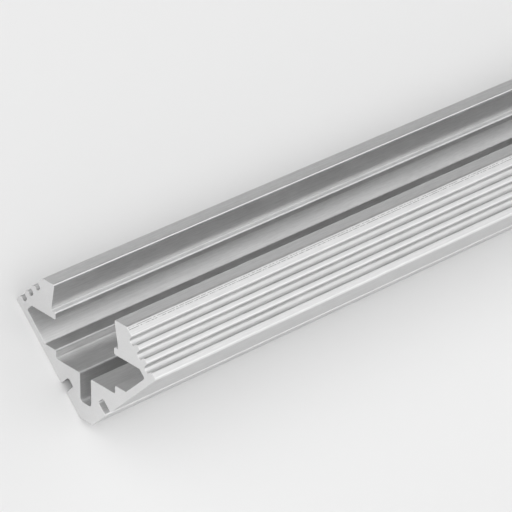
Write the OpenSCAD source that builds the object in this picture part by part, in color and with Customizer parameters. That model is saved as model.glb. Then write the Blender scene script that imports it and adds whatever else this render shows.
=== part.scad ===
// Corner LED strip profile: one length of extruded aluminium stock with two legs at a right angle.
// The section is drawn in two measures, millimetres throughout:
//   rise    distance from the mounting face of the lying leg, upwards
//   reach   distance from the mounting face of the upright leg, out along the lying leg
// Both legs are alike, so the section is its own mirror image with rise and reach swapped.
// What lies on the bisector of the corner is given by its height above the sharp outer corner
// and by its distance to either side of the bisector.

/* [Stock] */
// Length that the stock is sawn to
stock_l = 500; // [100:50:3000]

/* [Legs] */
// Width of each leg, across its mounting face
leg_w = 19; // [17.5:0.5:23]
// Wall of each leg behind the pocket
leg_t = 1; // [0.7:0.1:1.6]
// Flat that takes off the sharp outer corner, measured along each leg
corner_cut = 1.85; // [1:0.05:2.5]
// Distance from the outer corner to the groove in a mounting face
groove_at = 5.45; // [5:0.05:7]
// Width of the groove in a mounting face
groove_w = 1.3; // [0.8:0.1:2]
// Depth of the groove in a mounting face
groove_d = 2; // [0.5:0.1:2.4]

/* [Lips] */
// Height of each lip above the mounting face that it stands on
lip_h = 7.4; // [7:0.05:8.5]
// Wall of each lip beside the pocket
lip_t = 2; // [1.6:0.1:2.8]
// Number of notches in the outer face of each lip
notch_n = 3; // [0:1:3]
// Distance from the mounting face to the first notch
notch_at = 1.24; // [0.8:0.02:1.4]
// Distance from each notch to the next
notch_pitch = 1.915; // [1.7:0.005:2]
// Width of each notch
notch_w = 0.96; // [0.6:0.02:1.2]
// Depth of each notch
notch_d = 1; // [0.4:0.05:1.2]
// How far the outer face of a lip steps back above the last notch
step_back = 0.12; // [0:0.02:0.3]

/* [Cover rebate] */
// Opening between the tops of the two lips
mouth_w = 11.6; // [11:0.1:12.5]
// Depth of the rebate that a snapped cover sits in, below the tops of the lips
rebate_d = 3.95; // [3:0.05:4.2]
// Height of the upright nose on the inner edge of each lip, above the undercut
nose_h = 0.45; // [0.35:0.05:0.8]
// How far each lip leans over the foot of the rebate
undercut = 0.65; // [0.2:0.05:0.9]
// Opening between the two hooks at the foot of the rebate
hook_gap = 11.25; // [11:0.05:11.8]
// Thickness of each hook
hook_t = 1.05; // [0.8:0.05:1.3]

/* [Strip seat] */
// Height of the seat above the sharp outer corner
seat_h = 8; // [7.5:0.1:8.6]
// Width of the seat that the strip is laid on
seat_w = 11.4; // [9:0.1:12]
// Height of the shelf beside the seat
step_h = 1.2; // [0.6:0.1:1.6]
// Width of the slot along the middle of the seat
slot_w = 2.1; // [1.4:0.05:2.6]
// Depth of the slot along the middle of the seat
slot_d = 4.15; // [2:0.1:4.6]

/* [Rounding] */
// Radius at the two ends of the corner flat
corner_r = 0.5; // [0.1:0.05:0.7]
// Radius of the outer edges of legs and lips
edge_r = 0.35; // [0.1:0.05:0.5]
// Radius in the foot of the grooves and pockets
foot_r = 0.3; // [0.1:0.05:0.4]
// Radius on the mouths of grooves and slot, and on the shelves
mouth_r = 0.25; // [0.05:0.05:0.35]
// Radius in the foot of the notches
notch_r = 0.38; // [0.1:0.02:0.44]
// Radius on the ribs beside the notches
rib_r = 0.3; // [0.1:0.05:0.4]
// Radius at the foot of the slot
slot_r = 0.5; // [0.1:0.05:0.6]
// Radius on the inner edge of the lips and on the upper edge of the hooks
nose_r = 0.25; // [0.1:0.05:0.35]
// Radius in the foot of the rebate and under the hooks
hook_r = 0.15; // [0.05:0.05:0.2]

/* [Hidden] */
// Steps in which a round corner is drawn
arc_steps = 6;
// Share of a side that the round at either end of it may take
side_share = 0.48;
diagonal = sqrt(2);

// Heights along the bisector, above the sharp outer corner
lip_top = (leg_w + lip_h) / diagonal;
rebate_foot = lip_top - rebate_d;
hook_foot = rebate_foot - hook_t;
shelf_top = seat_h + step_h;
slot_foot = seat_h - slot_d;

// Reach of the outer face of a lip above the last notch
lip_face = leg_w - (notch_n > 0 ? step_back : 0);

// Reach of the far wall of the pocket between leg and lip
pocket_end = leg_w - lip_t;

// A corner of the section from its height on the bisector and its distance to the side of it
function beside(side, height, r) = [(height - side) / diagonal, (height + side) / diagonal, r];

// A corner at a given rise or reach, on a line square to the bisector at a given height
function at_rise(rise, height, r) = [rise, height * diagonal - rise, r];
function at_reach(reach, height, r) = [height * diagonal - reach, reach, r];

// The four corners of one notch, which starts at a given rise
function notch(rise, face) = [
    [rise, leg_w, rib_r],
    [rise, leg_w - notch_d, notch_r],
    [rise + notch_w, leg_w - notch_d, notch_r],
    [rise + notch_w, face, rib_r]
];

// The lying leg, its lip and half of the corner block, as [rise, reach, radius] at each corner
leg_corners = [
    [0, corner_cut, corner_r],
    [0, groove_at, mouth_r],
    [groove_d, groove_at, foot_r],
    [groove_d, groove_at + groove_w, foot_r],
    [0, groove_at + groove_w, mouth_r],
    [0, leg_w, edge_r]
];
notch_corners = [for (i = [0:1:notch_n - 1])
    each notch(notch_at + i * notch_pitch, i == notch_n - 1 ? lip_face : leg_w)];
lip_corners = [
    at_reach(lip_face, lip_top, edge_r),
    beside(mouth_w / 2, lip_top, nose_r),
    beside(mouth_w / 2, lip_top - nose_h, nose_r),
    beside(mouth_w / 2 + undercut, rebate_foot, hook_r),
    beside(hook_gap / 2, rebate_foot, nose_r),
    beside(hook_gap / 2, hook_foot, mouth_r),
    at_reach(pocket_end, hook_foot, hook_r),
    [leg_t, pocket_end, foot_r]
];
seat_corners = [
    at_rise(leg_t, shelf_top, foot_r),
    beside(seat_w / 2, shelf_top, mouth_r),
    beside(seat_w / 2, seat_h, foot_r),
    beside(slot_w / 2, seat_h, mouth_r),
    beside(slot_w / 2, slot_foot, slot_r)
];
half = concat(leg_corners, notch_corners, lip_corners, seat_corners);

// The other half is met from its far end, with rise and reach swapped
last = len(half) - 1;
other_half = [for (i = [last:-1:0]) [half[i][1], half[i][0], half[i][2]]];
corners = concat(half, other_half);

function place(corner) = [corner[0], corner[1]];
function unit(v) = v / norm(v);

// Points of the arc that rounds one corner, from the side before it to the side after it.
// The radius gives way where a side is too short for it.
function round_corner(before, here, after, r) =
    let (
        u = unit(before - here),
        v = unit(after - here),
        half_angle = acos(u * v) / 2,
        room = side_share * min(norm(before - here), norm(after - here)),
        cut = min(r / tan(half_angle), room),
        radius = cut * tan(half_angle),
        centre = here + unit(u + v) * radius / sin(half_angle),
        start = here + u * cut - centre,
        turn = sign(cross(u, v)) * (180 - 2 * half_angle)
    )
    [for (k = [0:arc_steps])
        let (w = -turn * k / arc_steps)
        centre + [start[0] * cos(w) - start[1] * sin(w), start[0] * sin(w) + start[1] * cos(w)]];

count = len(corners);
outline = [for (i = [0:count - 1])
    each round_corner(
        place(corners[(i + count - 1) % count]),
        place(corners[i]),
        place(corners[(i + 1) % count]),
        corners[i][2])];

// The stock lies on one mounting face, along X, with the other mounting face upright at +Y
module profile() {
    color([0.80, 0.81, 0.82])
    rotate([90, 0, 90])
    linear_extrude(height = stock_l, center = true)
    polygon([for (p = outline) [leg_w / 2 - p[1], p[0]]]);
}

profile();
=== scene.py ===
import math

import bmesh
import bpy
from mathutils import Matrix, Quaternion, Vector


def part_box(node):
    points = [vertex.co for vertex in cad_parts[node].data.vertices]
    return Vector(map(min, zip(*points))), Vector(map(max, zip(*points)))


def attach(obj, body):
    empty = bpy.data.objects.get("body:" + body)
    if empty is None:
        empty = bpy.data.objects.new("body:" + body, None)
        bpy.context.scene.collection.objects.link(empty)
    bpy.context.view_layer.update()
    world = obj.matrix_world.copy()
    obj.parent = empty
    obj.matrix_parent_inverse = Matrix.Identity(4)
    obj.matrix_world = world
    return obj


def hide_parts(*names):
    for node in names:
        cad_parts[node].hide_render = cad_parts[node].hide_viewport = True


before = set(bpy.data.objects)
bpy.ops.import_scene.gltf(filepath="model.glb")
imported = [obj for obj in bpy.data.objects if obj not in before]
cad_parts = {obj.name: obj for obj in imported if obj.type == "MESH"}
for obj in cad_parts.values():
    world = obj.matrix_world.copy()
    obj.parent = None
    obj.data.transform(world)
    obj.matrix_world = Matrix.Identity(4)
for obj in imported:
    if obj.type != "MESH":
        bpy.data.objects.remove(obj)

bl_info = {
    "name": "Corner LED Strip Profile",
    "version": (1, 0, 0),
    "blender": (4, 5, 0),
    "location": "View3D > Sidebar > Profile",
    "description": "Dresses an extruded corner profile in anodised aluminium and sets it on a studio floor",
    "category": "Object",
}

MM = 0.001
WHITE = (1, 1, 1, 1)
# Nearly all of a noise texture lies between these two values
NOISE_LOW, NOISE_HIGH = 0.3, 0.7
# A ring texture of scale 1 has this many rings in one unit
RINGS_PER_UNIT = 20 / (2 * math.pi)
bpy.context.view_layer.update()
STOCK_LOW, STOCK_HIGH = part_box("profile")
# Attribute that is 1 on rounded outer edges: rubbed edges whose lighter tone is partly a painted highlight
RUBBED_AND_HIGHLIT = "rubbed_and_highlit_edge"


class ProfileSettings(bpy.types.PropertyGroup):
    """Sizes of what the dressed profile has beside its section"""

    merge_gap: bpy.props.FloatProperty(
        name="Merge gap",
        description="Corners of the copied solid closer than this are one corner",
        default=0.001 * MM, precision=6, unit="LENGTH")
    flat_angle: bpy.props.FloatProperty(
        name="Flat angle",
        description="Triangles that meet at less than this angle are one face",
        default=math.radians(0.5), subtype="ANGLE")
    edge_break: bpy.props.FloatProperty(
        name="Edge break",
        description="Width of the rounded edge round each sawn end",
        default=0.07 * MM, precision=5, unit="LENGTH")
    edge_steps: bpy.props.IntProperty(
        name="Edge steps",
        description="Faces across the rounded edge of a sawn end",
        default=2, min=1, max=4)
    smooth_angle: bpy.props.FloatProperty(
        name="Smooth angle",
        description="Faces that meet at less than this angle are shaded as one round",
        default=math.radians(32), subtype="ANGLE")
    # Rounded edges between these two angles get the rubbed tone, which is partly wear and partly a painted
    # highlight
    keen_angle: bpy.props.FloatProperty(
        name="Keen angle",
        description="Least angle between two narrow faces of a rounded edge that is rubbed bright",
        default=math.radians(8), subtype="ANGLE")
    rubbed_and_highlit_angle: bpy.props.FloatProperty(
        name="Rubbed angle",
        description="Angle between two narrow faces of a rounded edge that is rubbed the most",
        default=math.radians(14), subtype="ANGLE")


class FinishSettings(bpy.types.PropertyGroup):
    """Colours, roughness and fine marks of the aluminium"""

    silver: bpy.props.FloatVectorProperty(
        name="Silver",
        description="Colour of the anodised skin",
        default=(0.82, 0.82, 0.82), size=3, min=0, max=1, subtype="COLOR")
    skin_metal: bpy.props.FloatProperty(
        name="Skin metal",
        description="Share of the skin that mirrors as metal, where the rest scatters as oxide",
        default=0.94, min=0, max=1)
    skin_edge_tint: bpy.props.FloatProperty(
        name="Skin edge tint",
        description="Strength of the skin's reflection at a grazing angle",
        default=0.55, min=0, max=1)
    skin_roughness: bpy.props.FloatProperty(
        name="Skin roughness",
        description="Roughness of the etched and anodised skin",
        default=0.45, min=0, max=1)
    roughness_play: bpy.props.FloatProperty(
        name="Roughness play",
        description="How far the roughness of a surface goes up and down from place to place",
        default=0.05, min=0, max=1)
    die_line: bpy.props.FloatProperty(
        name="Die line",
        description="Width of the fine lines that the die leaves along the stock",
        default=0.22 * MM, precision=5, unit="LENGTH")
    die_line_run: bpy.props.FloatProperty(
        name="Die line run",
        description="Length over which a die line fades into the next",
        default=30 * MM, unit="LENGTH")
    die_line_depth: bpy.props.FloatProperty(
        name="Die line depth",
        description="Height of the fine lines",
        default=0.004 * MM, precision=7, unit="LENGTH")
    die_line_tone: bpy.props.FloatProperty(
        name="Die line tone",
        description="Share that the fine lines add to the tone of the skin, or take from it",
        default=0.03, min=0, max=1)
    scratch: bpy.props.FloatProperty(
        name="Scratch",
        description="Width of the short marks along the stock",
        default=0.2 * MM, precision=5, unit="LENGTH")
    scratch_run: bpy.props.FloatProperty(
        name="Scratch run",
        description="Length of the short marks along the stock",
        default=1.6 * MM, precision=4, unit="LENGTH")
    scratch_depth: bpy.props.FloatProperty(
        name="Scratch depth",
        description="Depth of the short marks",
        default=0.011 * MM, precision=7, unit="LENGTH")
    scratch_tone: bpy.props.FloatProperty(
        name="Scratch tone",
        description="Share that the short marks add to the tone of the skin, or take from it",
        default=0.042, min=0, max=1)
    cloud: bpy.props.FloatProperty(
        name="Cloud",
        description="Width of the soft clouds that etching leaves in the skin",
        default=2.4 * MM, precision=4, unit="LENGTH")
    cloud_tone: bpy.props.FloatProperty(
        name="Cloud tone",
        description="Share that the soft clouds add to the tone of the skin, or take from it",
        default=0.02, min=0, max=1)
    seam_reach: bpy.props.FloatProperty(
        name="Seam reach",
        description="Distance of the inner seam on each lip from the mounting face opposite it",
        default=7.0 * MM, precision=4, unit="LENGTH")
    seam_gap: bpy.props.FloatProperty(
        name="Seam gap",
        description="Distance from the inner seam on each lip to the outer one",
        default=0.23 * MM, precision=5, unit="LENGTH")
    seam_width: bpy.props.FloatProperty(
        name="Seam width",
        description="Width of a seam on the outer face of each lip",
        default=0.12 * MM, precision=5, unit="LENGTH")
    seam_dash: bpy.props.FloatProperty(
        name="Seam dash",
        description="Length of the dashes that a seam is broken into",
        default=0.3 * MM, precision=5, unit="LENGTH")
    seam_breaks: bpy.props.FloatVectorProperty(
        name="Seam breaks",
        description="Noise below the first value breaks a seam, and above the second leaves it whole",
        default=(0.38, 0.46), size=2, min=0, max=1)
    seam_left: bpy.props.FloatProperty(
        name="Seam left",
        description="Share of a seam that is left where it is broken",
        default=0.2, min=0, max=1)
    seam_tone: bpy.props.FloatProperty(
        name="Seam tone",
        description="Share of the tone of the skin that a seam takes away",
        default=0.5, min=0, max=1)
    # The rubbed tone is partly wear and partly a painted highlight along every rounded outer edge, inner
    # hooks included
    rubbed_and_highlight_tone: bpy.props.FloatProperty(
        name="Rubbed tone",
        description="Share that rubbing adds to the tone of the skin on outer edges",
        default=0.12, min=0, max=1)
    rubbed_edge_tint: bpy.props.FloatProperty(
        name="Rubbed edge tint",
        description="Share of the light that rubbed edges keep where they are seen at a low angle",
        default=0.8, min=0, max=1)
    rubbed_polish: bpy.props.FloatProperty(
        name="Rubbed polish",
        description="How much less rough the skin is on rubbed edges",
        default=0.05, min=0, max=1)
    sawn: bpy.props.FloatVectorProperty(
        name="Sawn metal",
        description="Colour of the bare metal on the sawn ends",
        default=(0.8, 0.8, 0.8), size=3, min=0, max=1, subtype="COLOR")
    sawn_roughness: bpy.props.FloatProperty(
        name="Sawn roughness",
        description="Roughness of the sawn ends",
        default=0.45, min=0, max=1)
    saw_pitch: bpy.props.FloatProperty(
        name="Saw pitch",
        description="Distance between the arcs that the saw blade leaves",
        default=0.45 * MM, precision=5, unit="LENGTH")
    saw_shift: bpy.props.FloatVectorProperty(
        name="Saw shift",
        description="From the middle of the blade's arcs to the middle of the stock's underside",
        default=(0, -60 * MM, 90 * MM), size=3, subtype="TRANSLATION")
    saw_wander: bpy.props.FloatProperty(
        name="Saw wander",
        description="How far the arcs stray from true circles",
        default=3.0, min=0)
    saw_wander_scale: bpy.props.FloatProperty(
        name="Saw wander scale",
        description="Fineness of that straying, next to the arcs themselves",
        default=0.6, min=0)
    saw_grain: bpy.props.FloatProperty(
        name="Saw grain",
        description="Width of the torn grain between the arcs",
        default=0.12 * MM, precision=5, unit="LENGTH")
    saw_patch: bpy.props.FloatProperty(
        name="Saw patch",
        description="Width of the duller and brighter patches of a sawn end",
        default=3 * MM, precision=4, unit="LENGTH")
    saw_depth: bpy.props.FloatProperty(
        name="Saw depth",
        description="Height of the arcs that the saw blade leaves",
        default=0.002 * MM, precision=7, unit="LENGTH")
    saw_tone: bpy.props.FloatProperty(
        name="Saw tone",
        description="Share that grain and patches add to the tone of a sawn end, or take from it",
        default=0.02, min=0, max=1)


class StageSettings(bpy.types.PropertyGroup):
    """Floor, light and camera"""

    floor_size: bpy.props.FloatProperty(
        name="Floor size",
        description="Width of the studio floor",
        default=60.0, unit="LENGTH")
    floor_drop: bpy.props.FloatProperty(
        name="Floor drop",
        description="How far the floor lies below the stock, so that no two faces share one plane",
        default=0.02 * MM, precision=5, unit="LENGTH")
    floor_colour: bpy.props.FloatVectorProperty(
        name="Floor colour",
        description="Colour of the studio floor",
        default=(0.855, 0.855, 0.855), size=3, min=0, max=1, subtype="COLOR")
    floor_roughness: bpy.props.FloatProperty(
        name="Floor roughness",
        description="Roughness of the studio floor",
        default=0.9, min=0, max=1)
    horizon_light: bpy.props.FloatProperty(
        name="Horizon light",
        description="Strength of the light that comes in level with the floor",
        default=0.585, min=0)
    top_light: bpy.props.FloatProperty(
        name="Top light",
        description="Strength of the light that comes from straight above",
        default=1.065, min=0)
    box_core: bpy.props.FloatProperty(
        name="Box core",
        description="Angle from the middle of either soft box to where its light starts to fade",
        default=math.radians(5), subtype="ANGLE")
    key_light: bpy.props.FloatProperty(
        name="Key light",
        description="Strength that the soft box adds in front of the sawn end",
        default=0.81, min=0)
    key_turn: bpy.props.FloatProperty(
        name="Key turn",
        description="Direction of the soft box, from +X towards +Y",
        default=math.radians(-45), subtype="ANGLE")
    key_rise: bpy.props.FloatProperty(
        name="Key rise",
        description="Height of the soft box above the horizon",
        default=math.radians(60), subtype="ANGLE")
    key_spread: bpy.props.FloatProperty(
        name="Key spread",
        description="Angle from the middle of the soft box to where its light ends",
        default=math.radians(45), subtype="ANGLE")
    back_light: bpy.props.FloatProperty(
        name="Back light",
        description="Strength that a second soft box adds above the far end",
        default=0.385, min=0)
    back_turn: bpy.props.FloatProperty(
        name="Back turn",
        description="Direction of the second soft box, from +X towards +Y",
        default=math.radians(-175), subtype="ANGLE")
    back_rise: bpy.props.FloatProperty(
        name="Back rise",
        description="Height of the second soft box above the horizon",
        default=math.radians(59), subtype="ANGLE")
    back_spread: bpy.props.FloatProperty(
        name="Back spread",
        description="Angle from the middle of the second soft box to where its light ends",
        default=math.radians(45), subtype="ANGLE")
    shade: bpy.props.FloatProperty(
        name="Shade",
        description="Share of the light that a dark screen beside the open side takes away",
        default=1.0, min=0, max=1)
    shade_turn: bpy.props.FloatProperty(
        name="Shade turn",
        description="Direction of the dark screen, from +X towards +Y",
        default=math.radians(-124), subtype="ANGLE")
    shade_rise: bpy.props.FloatProperty(
        name="Shade rise",
        description="Height of the middle of the dark screen above the horizon",
        default=math.radians(10), subtype="ANGLE")
    shade_core: bpy.props.FloatProperty(
        name="Shade core",
        description="Angle from the middle of the dark screen to where it starts to fade",
        default=math.radians(10), subtype="ANGLE")
    shade_spread: bpy.props.FloatProperty(
        name="Shade spread",
        description="Angle from the middle of the dark screen to its soft edge",
        default=math.radians(80), subtype="ANGLE")
    camera_place: bpy.props.FloatVectorProperty(
        name="Camera place",
        description="Where the camera stands",
        default=(0.45778, 0.04111, 0.32324), size=3, subtype="TRANSLATION")
    camera_target: bpy.props.FloatVectorProperty(
        name="Camera target",
        description="Point that the camera looks at",
        default=(0.22471, 0.00002, 0.0153), size=3, subtype="TRANSLATION")
    camera_roll: bpy.props.FloatProperty(
        name="Camera roll",
        description="Turn of the camera about its line of sight",
        default=math.radians(53.56), subtype="ANGLE")
    camera_lens: bpy.props.FloatProperty(
        name="Lens",
        description="Focal length of the camera",
        default=213.43, unit="CAMERA")
    camera_sensor: bpy.props.FloatProperty(
        name="Sensor",
        description="Width of the camera's sensor",
        default=36, unit="CAMERA")
    camera_near: bpy.props.FloatProperty(
        name="Nearest",
        description="Nothing closer to the camera than this is seen",
        default=10 * MM, unit="LENGTH")


def deselect_all():
    if bpy.context.object and bpy.context.object.mode != "OBJECT":
        bpy.ops.object.mode_set(mode="OBJECT")
    bpy.ops.object.select_all(action="DESELECT")


def make_active(piece):
    deselect_all()
    piece.select_set(True)
    bpy.context.view_layer.objects.active = piece


def copy_of_node(node, name):
    """A piece with a copy of the node's mesh, in the node's place"""
    piece = bpy.data.objects.new(name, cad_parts[node].data.copy())
    piece.data.name = name
    piece.data.materials.clear()
    bpy.context.scene.collection.objects.link(piece)
    make_active(piece)
    return piece


def at_an_end(x, slack=0.01 * MM):
    """Whether a place on X lies on one of the two sawn ends"""
    return abs(x - STOCK_LOW.x) < slack or abs(x - STOCK_HIGH.x) < slack


def runs_along(start, end):
    """Whether an edge from one place on X to another runs along the stock"""
    return abs(start - end) > (STOCK_HIGH.x - STOCK_LOW.x) / 2


def select_end_edges(mesh):
    """Selects the edges round the two sawn ends. It is called in object mode."""
    for edge in mesh.edges:
        start, end = (mesh.vertices[i].co.x for i in edge.vertices)
        edge.select = at_an_end(start) and not runs_along(start, end)


def mark_rubbed_and_highlit_edges(mesh, keen_angle, rubbed_and_highlit_angle):
    """Gives each corner of the mesh a value that is 1 on rounded outer edges, which are rubbed and also
    carry a painted highlight, 0 elsewhere
    """
    shape = bmesh.new()
    shape.from_mesh(mesh)
    rubbed_and_highlit = [0.0] * len(shape.verts)
    for edge in shape.edges:
        start, end = edge.verts
        if runs_along(start.co.x, end.co.x) and edge.is_convex:
            angle = edge.calc_face_angle()
            value = (angle - keen_angle) / (rubbed_and_highlit_angle - keen_angle)
            for corner in edge.verts:
                rubbed_and_highlit[corner.index] = max(0.0, min(1.0, value))
    shape.free()
    mesh.attributes.new(RUBBED_AND_HIGHLIT, "FLOAT", "POINT").data.foreach_set("value", rubbed_and_highlit)


class LEDPROFILE_OT_profile(bpy.types.Operator):
    """Makes the dressed length of profile from the solid, with broken edges at its sawn ends"""

    bl_idname = "ledprofile.profile"
    bl_label = "Profile"

    def execute(self, context):
        sizes = context.scene.profile_settings
        piece = copy_of_node("profile", "anodised_profile")
        bpy.ops.object.mode_set(mode="EDIT")
        bpy.ops.mesh.select_mode(type="VERT")
        bpy.ops.mesh.select_all(action="SELECT")
        bpy.ops.mesh.remove_doubles(threshold=sizes.merge_gap)
        bpy.ops.mesh.dissolve_limited(angle_limit=sizes.flat_angle)
        bpy.ops.mesh.select_all(action="DESELECT")
        bpy.ops.mesh.select_mode(type="EDGE")
        bpy.ops.object.mode_set(mode="OBJECT")
        select_end_edges(piece.data)
        bpy.ops.object.mode_set(mode="EDIT")
        bpy.ops.mesh.bevel(offset=sizes.edge_break, segments=sizes.edge_steps, clamp_overlap=False)
        bpy.ops.object.mode_set(mode="OBJECT")
        bpy.ops.object.shade_smooth_by_angle(angle=sizes.smooth_angle)

        weigh = piece.modifiers.new("Flat faces first", "WEIGHTED_NORMAL")
        weigh.keep_sharp = True
        bpy.ops.object.modifier_apply(modifier=weigh.name)

        mark_rubbed_and_highlit_edges(piece.data, sizes.keen_angle, sizes.rubbed_and_highlit_angle)
        piece.data.materials.append(anodised_skin())
        piece.data.materials.append(sawn_end())
        for face in piece.data.polygons:
            face.material_index = 1 if at_an_end(face.center.x) else 0
        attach(piece, "root")
        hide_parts("profile")
        return {"FINISHED"}


def new_material(name, colour, metal, roughness):
    """A material with plain values, its node tree and its shader"""
    material = bpy.data.materials.new(name)
    material.use_nodes = True
    tree = material.node_tree
    shader = tree.nodes["Principled BSDF"]
    shader.inputs["Base Color"].default_value = (*colour, 1)
    shader.inputs["Metallic"].default_value = metal
    shader.inputs["Roughness"].default_value = roughness
    return material, tree, shader


def object_place(tree, scale=(1, 1, 1), shift=(0, 0, 0)):
    """A place on the piece, in metres, times a scale"""
    place = tree.nodes.new("ShaderNodeTexCoord")
    mapping = tree.nodes.new("ShaderNodeMapping")
    mapping.inputs["Scale"].default_value = scale
    mapping.inputs["Location"].default_value = shift
    tree.links.new(place.outputs["Object"], mapping.inputs["Vector"])
    return mapping.outputs["Vector"]


def noise(tree, place, grain, detail=2.0):
    """Noise from 0 to 1 whose grains are as wide as told"""
    texture = tree.nodes.new("ShaderNodeTexNoise")
    texture.inputs["Scale"].default_value = 1 / grain
    texture.inputs["Detail"].default_value = detail
    tree.links.new(place, texture.inputs["Vector"])
    return texture.outputs["Fac"]


def calculate(tree, operation, *values):
    """The outcome of a calculation, where each value is a number or a socket"""
    step = tree.nodes.new("ShaderNodeMath")
    step.operation = operation
    for socket, value in zip(step.inputs, values):
        if isinstance(value, bpy.types.NodeSocket):
            tree.links.new(value, socket)
        else:
            socket.default_value = value
    return step.outputs["Value"]


def product(tree, value, *factors):
    """The value times all the factors"""
    for factor in factors:
        value = calculate(tree, "MULTIPLY", value, factor)
    return value


def spread(tree, value, start, end, low, high, smooth=False):
    """The value, taken from the range start to end into the range low to high"""
    step = tree.nodes.new("ShaderNodeMapRange")
    step.interpolation_type = "SMOOTHSTEP" if smooth else "LINEAR"
    step.inputs["From Min"].default_value = start
    step.inputs["From Max"].default_value = end
    step.inputs["To Min"].default_value = low
    step.inputs["To Max"].default_value = high
    tree.links.new(value, step.inputs["Value"])
    return step.outputs["Result"]


def tinted(tree, colour, share):
    """The colour, darker where the share is below 1 and lighter where it is above"""
    tint = tree.nodes.new("ShaderNodeVectorMath")
    tint.operation = "SCALE"
    tint.inputs[0].default_value = colour
    tree.links.new(share, tint.inputs["Scale"])
    return tint.outputs["Vector"]


def raised(tree, height, depth, normal=None, share=None):
    """The normal of a surface with that height in it, or a share of it, on top of another normal"""
    bump = tree.nodes.new("ShaderNodeBump")
    bump.inputs["Distance"].default_value = depth
    tree.links.new(height, bump.inputs["Height"])
    if share:
        tree.links.new(share, bump.inputs["Strength"])
    if normal:
        tree.links.new(normal, bump.inputs["Normal"])
    return bump.outputs["Normal"]


def drawn_out(tree, width, run):
    """Noise in marks along the stock, of that width and run"""
    return noise(tree, object_place(tree, (width / run, 1, 1)), width)


def play(tree, marks, middle, reach):
    """A value that goes up and down from its middle by its reach, as the marks are strong or weak"""
    return spread(tree, marks, NOISE_LOW, NOISE_HIGH, middle - reach, middle + reach)


def tone(tree, marks, share):
    """A factor for the tone of a surface, a share above or below 1 as the marks are strong or weak"""
    return play(tree, marks, 1, share)


def lip_seams(tree, look):
    """1 on the two broken seams along the outer face of each lip, 0 elsewhere"""
    parts = tree.nodes.new("ShaderNodeSeparateXYZ")
    tree.links.new(object_place(tree), parts.inputs["Vector"])
    y = parts.outputs["Y"]
    z = parts.outputs["Z"]
    off_top = calculate(tree, "LESS_THAN", z, STOCK_HIGH.z - look.seam_width)
    off_side = calculate(tree, "GREATER_THAN", y, STOCK_LOW.y + look.seam_width)
    middle = look.seam_reach + look.seam_gap / 2
    aside_top = calculate(tree, "ABSOLUTE", calculate(tree, "SUBTRACT", y, STOCK_HIGH.y - middle))
    aside_side = calculate(tree, "ABSOLUTE", calculate(tree, "SUBTRACT", z, STOCK_LOW.z + middle))
    aside = calculate(
        tree, "MINIMUM",
        calculate(tree, "ADD", aside_top, off_top),
        calculate(tree, "ADD", aside_side, off_side))
    away = calculate(tree, "ABSOLUTE", calculate(tree, "SUBTRACT", aside, look.seam_gap / 2))
    rim, core = look.seam_width / 2, look.seam_width / 6
    line = spread(tree, away, rim, core, 0, 1, smooth=True)
    dashes = noise(tree, object_place(tree), look.seam_dash, detail=0)
    return product(tree, line, spread(tree, dashes, *look.seam_breaks, look.seam_left, 1))


def anodised_skin():
    """Silver anodising over fine marks along the stock, with soft clouds from etching, and rounded outer
    edges that are rubbed and also painted lighter as a highlight
    """
    look = bpy.context.scene.finish_settings
    material, tree, shader = new_material("anodised_skin", look.silver, look.skin_metal, look.skin_roughness)
    lines = drawn_out(tree, look.die_line, look.die_line_run)
    scratches = drawn_out(tree, look.scratch, look.scratch_run)
    clouds = noise(tree, object_place(tree), look.cloud, detail=3)
    attribute = tree.nodes.new("ShaderNodeAttribute")
    attribute.attribute_name = RUBBED_AND_HIGHLIT
    rubbed_and_highlit = attribute.outputs["Fac"]

    share = product(
        tree,
        tone(tree, lines, look.die_line_tone),
        tone(tree, clouds, look.cloud_tone),
        tone(tree, scratches, look.scratch_tone),
        spread(tree, lip_seams(tree, look), 0, 1, 1, 1 - look.seam_tone))
    # Rounded outer edges are made lighter: partly rubbing, partly a painted highlight
    share = calculate(tree, "ADD", share, product(tree, rubbed_and_highlit, look.rubbed_and_highlight_tone))
    tree.links.new(tinted(tree, look.silver, share), shader.inputs["Base Color"])

    rough = play(tree, clouds, look.skin_roughness, look.roughness_play)
    rough = calculate(tree, "SUBTRACT", rough, product(tree, rubbed_and_highlit, look.rubbed_polish))
    tree.links.new(rough, shader.inputs["Roughness"])
    edge_tint = spread(tree, rubbed_and_highlit, 0, 1, look.skin_edge_tint, look.rubbed_edge_tint)
    tree.links.new(edge_tint, shader.inputs["Specular Tint"])

    not_rubbed_or_highlit = calculate(tree, "SUBTRACT", 1, rubbed_and_highlit)
    normal = raised(tree, lines, look.die_line_depth, share=not_rubbed_or_highlit)
    normal = raised(tree, scratches, look.scratch_depth, normal, not_rubbed_or_highlit)
    tree.links.new(normal, shader.inputs["Normal"])
    return material


def sawn_end():
    """Bare aluminium with the faint arcs of a saw blade"""
    look = bpy.context.scene.finish_settings
    material, tree, shader = new_material("sawn_end", look.sawn, 1, look.sawn_roughness)
    arcs = tree.nodes.new("ShaderNodeTexWave")
    arcs.wave_type = "RINGS"
    arcs.rings_direction = "X"
    arcs.inputs["Scale"].default_value = 1 / (look.saw_pitch * RINGS_PER_UNIT)
    arcs.inputs["Distortion"].default_value = look.saw_wander
    arcs.inputs["Detail Scale"].default_value = look.saw_wander_scale
    tree.links.new(object_place(tree, shift=look.saw_shift), arcs.inputs["Vector"])
    grain = noise(tree, object_place(tree), look.saw_grain)
    patches = noise(tree, object_place(tree), look.saw_patch)

    share = product(tree, tone(tree, grain, look.saw_tone), tone(tree, patches, look.saw_tone))
    tree.links.new(tinted(tree, look.sawn, share), shader.inputs["Base Color"])
    rough = play(tree, patches, look.sawn_roughness, look.roughness_play)
    tree.links.new(rough, shader.inputs["Roughness"])
    height = calculate(tree, "ADD", arcs.outputs["Fac"], grain)
    tree.links.new(raised(tree, height, look.saw_depth), shader.inputs["Normal"])
    return material


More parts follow.
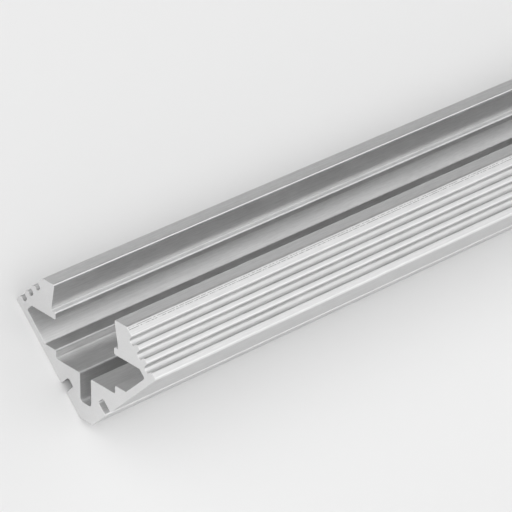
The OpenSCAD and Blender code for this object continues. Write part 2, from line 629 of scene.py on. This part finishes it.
def soft_patch(tree, view, turn, rise, core, rim):
    """1 in the middle of a round patch of the sky and 0 outside its rim"""
    middle = Vector((math.cos(rise) * math.cos(turn), math.cos(rise) * math.sin(turn), math.sin(rise)))
    facing = tree.nodes.new("ShaderNodeVectorMath")
    facing.operation = "DOT_PRODUCT"
    facing.inputs[1].default_value = middle
    tree.links.new(view, facing.inputs[0])
    return spread(tree, facing.outputs["Value"], math.cos(rim), math.cos(core), 0, 1, smooth=True)


def studio_light(stage):
    """A sky that is bright above and dim at the horizon, with two soft boxes and a dark screen"""
    world = bpy.data.worlds.new("studio")
    world.use_nodes = True
    tree = world.node_tree
    view = tree.nodes.new("ShaderNodeTexCoord").outputs["Generated"]
    parts = tree.nodes.new("ShaderNodeSeparateXYZ")
    tree.links.new(view, parts.inputs["Vector"])
    sky = spread(tree, parts.outputs["Z"], 0, 1, stage.horizon_light, stage.top_light)
    screen = soft_patch(tree, view, stage.shade_turn, stage.shade_rise, stage.shade_core, stage.shade_spread)
    screened = product(tree, sky, spread(tree, screen, 0, 1, 1, 1 - stage.shade))
    key = soft_patch(tree, view, stage.key_turn, stage.key_rise, stage.box_core, stage.key_spread)
    back = soft_patch(tree, view, stage.back_turn, stage.back_rise, stage.box_core, stage.back_spread)
    boxes = calculate(
        tree, "ADD", product(tree, key, stage.key_light), product(tree, back, stage.back_light))
    light = calculate(tree, "ADD", screened, boxes)
    tree.nodes["Background"].inputs["Color"].default_value = WHITE
    tree.links.new(light, tree.nodes["Background"].inputs["Strength"])
    return world


class LEDPROFILE_OT_stage(bpy.types.Operator):
    """Makes the studio floor, the light and the camera"""

    bl_idname = "ledprofile.stage"
    bl_label = "Stage"

    def execute(self, context):
        stage = context.scene.stage_settings
        deselect_all()
        bpy.ops.mesh.primitive_plane_add(size=stage.floor_size, location=(0, 0, -stage.floor_drop))
        floor = context.object
        floor.name = "studio_floor"
        material = bpy.data.materials.new("studio_floor")
        material.use_nodes = True
        shader = material.node_tree.nodes["Principled BSDF"]
        shader.inputs["Base Color"].default_value = (*stage.floor_colour, 1)
        shader.inputs["Roughness"].default_value = stage.floor_roughness
        shader.inputs["Specular IOR Level"].default_value = 0
        floor.data.materials.append(material)

        context.scene.world = studio_light(stage)

        place = Vector(stage.camera_place)
        sight = Vector(stage.camera_target) - place
        bpy.ops.object.camera_add(location=place)
        camera = context.object
        camera.data.lens = stage.camera_lens
        camera.data.sensor_width = stage.camera_sensor
        camera.data.clip_start = stage.camera_near
        camera.rotation_mode = "QUATERNION"
        upright = sight.to_track_quat("-Z", "Y")
        camera.rotation_quaternion = upright @ Quaternion((0, 0, 1), stage.camera_roll)
        context.scene.camera = camera
        context.scene.view_settings.view_transform = "Standard"
        return {"FINISHED"}


class LEDPROFILE_PT_panel(bpy.types.Panel):
    """Lists the steps that make the profile and its stage"""

    bl_idname = "LEDPROFILE_PT_panel"
    bl_label = "Corner LED Strip Profile"
    bl_space_type = "VIEW_3D"
    bl_region_type = "UI"
    bl_category = "Profile"

    def draw(self, context):
        self.layout.operator(LEDPROFILE_OT_profile.bl_idname)
        self.layout.operator(LEDPROFILE_OT_stage.bl_idname)


CLASSES = (
    ProfileSettings,
    FinishSettings,
    StageSettings,
    LEDPROFILE_OT_profile,
    LEDPROFILE_OT_stage,
    LEDPROFILE_PT_panel,
)


def register():
    for cls in CLASSES:
        bpy.utils.register_class(cls)
    bpy.types.Scene.profile_settings = bpy.props.PointerProperty(type=ProfileSettings)
    bpy.types.Scene.finish_settings = bpy.props.PointerProperty(type=FinishSettings)
    bpy.types.Scene.stage_settings = bpy.props.PointerProperty(type=StageSettings)


def unregister():
    del bpy.types.Scene.stage_settings
    del bpy.types.Scene.finish_settings
    del bpy.types.Scene.profile_settings
    for cls in reversed(CLASSES):
        bpy.utils.unregister_class(cls)


def main():
    register()
    bpy.ops.ledprofile.profile()
    bpy.ops.ledprofile.stage()


if __name__ == "__main__":
    main()
